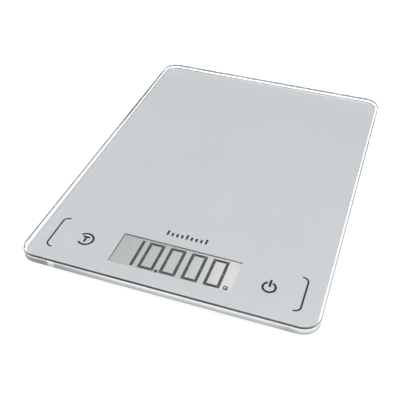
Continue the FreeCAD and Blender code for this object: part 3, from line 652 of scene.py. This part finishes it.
def ticks():
    """A short rule of plain graduation ticks above the display."""
    outlines = []
    for i in range(TICK_COUNT):
        x = TICK_START + i * TICK_PITCH
        height = TICK_SHORT if i % TICK_GROUP else TICK_TALL
        outlines.append(rectangle(x - TICK_WIDTH / 2, TICK_BASE, x + TICK_WIDTH / 2, TICK_BASE + height))
    return outlines


def printed_marks(material):
    """The signs and ticks, each a thin piece half sunk in the print's upper face."""
    _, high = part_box("back_print")
    bottom = high.z - MARK_HALF
    top = high.z + MARK_HALF
    marks = {
        "mark_bracket_left": [bracket(-1, LEFT_BRACKET_REACH)],
        "mark_bracket_right": [bracket(1, RIGHT_BRACKET_REACH)],
        "mark_power": power_symbol(),
        "mark_tare": tare_symbol(),
        "mark_ticks": ticks(),
    }
    for name, outlines in marks.items():
        new_piece(name, plates(name, outlines, bottom, top), material)


def segment(start, end, trims):
    """One display segment, its width to the left of the line from start to end.
    trims is how far the far corner of each end leans in: STROKE for a mitre and 0 for a square end."""
    a = Vector(start)
    b = Vector(end)
    along = (b - a).normalized()
    side = Vector((-along.y, along.x)) * STROKE
    lean_a, lean_b = trims
    a += along * SEGMENT_GAP / 2
    b -= along * SEGMENT_GAP / 2
    corners = [a, b, b + side - along * lean_b, a + side + along * lean_a]
    return [(p.x, p.y) for p in corners]


def zero(left):
    """Six segments anticlockwise round a rectangle, with their width inward."""
    right = left + DIGIT_WIDTH
    top = DIGIT_TOP
    bottom = DIGIT_TOP - DIGIT_HEIGHT
    middle = (top + bottom) / 2
    return [
        segment((left, bottom), (right, bottom), (STROKE, STROKE)),
        segment((right, bottom), (right, middle), (STROKE, 0.0)),
        segment((right, middle), (right, top), (0.0, STROKE)),
        segment((right, top), (left, top), (STROKE, STROKE)),
        segment((left, top), (left, middle), (STROKE, 0.0)),
        segment((left, middle), (left, bottom), (0.0, STROKE)),
    ]


def one(x):
    """Two upright segments centred on x."""
    right = x + STROKE / 2
    top = DIGIT_TOP
    bottom = DIGIT_TOP - DIGIT_HEIGHT
    middle = (top + bottom) / 2
    return [
        segment((right, bottom), (right, middle), (0.0, 0.0)),
        segment((right, middle), (right, top), (0.0, 0.0)),
    ]


def readout():
    """The figures, their decimal point and the small unit."""
    outlines = one(ONE_X)
    for i in range(ZERO_COUNT):
        outlines += zero(FIRST_ZERO + i * DIGIT_PITCH)
    x, y = POINT_PLACE
    half = POINT_SIZE / 2
    outlines.append(rectangle(x - half, y - half, x + half, y + half))
    return outlines + unit_letter()


def unit_letter():
    """A ring, a stem on its right and a tail under both."""
    x, y = UNIT_PLACE
    upper, lower = UNIT_TAIL
    stem_x = x + UNIT_RADIUS
    half = UNIT_STROKE / 2
    ring = ribbon(arc(UNIT_PLACE, UNIT_RADIUS, RING_GAP, 360.0 - RING_GAP, UNIT_STEPS), UNIT_STROKE)
    stem = rectangle(stem_x - half, y - upper, stem_x + half, y + UNIT_RADIUS)
    tail = rectangle(x - UNIT_RADIUS, y - lower, stem_x + half, y - upper)
    return [ring, stem, tail]


def display(film, ink):
    """The polarising film on the front plate, inside the gasket's opening, with the readout on it."""
    low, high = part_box("lcd_front_glass")
    middle_y = (low.y + high.y) / 2
    half_x = WINDOW_HALF[0] - LCD_FILM_MARGIN
    half_y = WINDOW_HALF[1] - LCD_FILM_MARGIN
    top = high.z + LCD_FILM_THICKNESS
    outline = rectangle(-half_x, middle_y - half_y, half_x, middle_y + half_y)
    new_piece("lcd_film", plates("lcd_film", [outline], high.z, top), film)
    data = plates("lcd_readout", readout(), top - MARK_HALF, top + MARK_HALF)
    new_piece("lcd_readout", data, ink)


def paint_cad(finishes):
    """Gives every CAD node the material of its slot."""
    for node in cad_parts.values():
        for slot in node.material_slots:
            slot.material = finishes[slot.material.name.split(".")[0]]


# Room, lights and camera


def make_floor():
    """A plain pale floor that glows a little, so that it stays white around the scale."""
    made = Finish("floor", specular=0.2)
    cloud = made.noise(0.4, 2.0)
    made.colour(made.clouds(cloud, (0.93, 0.93, 0.93), (0.95, 0.95, 0.95)))
    made.roughness(made.between(cloud, 0.7, 0.8))
    made.value("Emission Color", (1.0, 1.0, 1.0, 1.0))
    made.value("Emission Strength", FLOOR_GLOW)
    outline = rectangle(-FLOOR_HALF, -FLOOR_HALF, FLOOR_HALF, FLOOR_HALF)
    obj = bpy.data.objects.new("floor", plates("floor", [outline], -FLOOR_DEPTH, 0.0))
    obj.data.materials.append(made.material)
    bpy.context.scene.collection.objects.link(obj)


def make_world():
    """A white room with a large soft light overhead."""
    world = bpy.data.worlds.new("studio")
    world.use_nodes = True
    tree = world.node_tree
    direction = tree.nodes.new("ShaderNodeTexCoord").outputs["Generated"]
    parts = tree.nodes.new("ShaderNodeSeparateXYZ")
    tree.links.new(direction, parts.inputs["Vector"])
    level = tree.nodes.new("ShaderNodeMapRange")
    level.interpolation_type = "SMOOTHSTEP"
    tree.links.new(parts.outputs["Z"], level.inputs["Value"])
    numbers = (*WORLD_OVERHEAD, *WORLD_LEVELS)
    for socket, number in zip(("From Min", "From Max", "To Min", "To Max"), numbers):
        level.inputs[socket].default_value = number
    background = tree.nodes["Background"]
    background.inputs["Color"].default_value = (1.0, 1.0, 1.0, 1.0)
    tree.links.new(level.outputs["Result"], background.inputs["Strength"])
    bpy.context.scene.world = world


def make_light():
    """A weak softbox to the front right."""
    data = bpy.data.lights.new("softbox_right", "AREA")
    data.shape = "SQUARE"
    data.size = SOFTBOX_SIZE
    data.energy = SOFTBOX_POWER
    obj = bpy.data.objects.new("softbox_right", data)
    obj.location = SOFTBOX_PLACE
    obj.rotation_euler = (-Vector(SOFTBOX_PLACE)).to_track_quat("-Z", "Y").to_euler()
    bpy.context.scene.collection.objects.link(obj)


def make_camera():
    """The camera looks from its place to its target, rolled a little about that line."""
    place = Vector(CAMERA_PLACE)
    target = Vector(CAMERA_TARGET)
    roll = math.radians(CAMERA_ROLL)
    forward = (target - place).normalized()
    level = forward.cross(Vector((0, 0, 1))).normalized()
    upright = level.cross(forward)
    right = level * math.cos(roll) + upright * math.sin(roll)
    up = right.cross(forward)
    data = bpy.data.cameras.new("camera")
    data.sensor_width = CAMERA_SENSOR
    data.lens = CAMERA_LENS
    data.clip_start = CAMERA_NEAREST
    obj = bpy.data.objects.new("camera", data)
    turn = Matrix((right, up, -forward)).transposed()
    obj.matrix_world = Matrix.Translation(place) @ turn.to_4x4()
    bpy.context.scene.collection.objects.link(obj)
    bpy.context.scene.camera = obj


finishes = make_finishes()
paint_cad(finishes)
glass_plate(finishes["clear_glass"], ground_edge(), polished_bevel())
printed_marks(black_ink())
display(lcd_film(), segment_ink())
make_floor()
make_world()
make_light()
make_camera()
bpy.context.scene.view_settings.view_transform = "Standard"

bpy.context.view_layer.update()
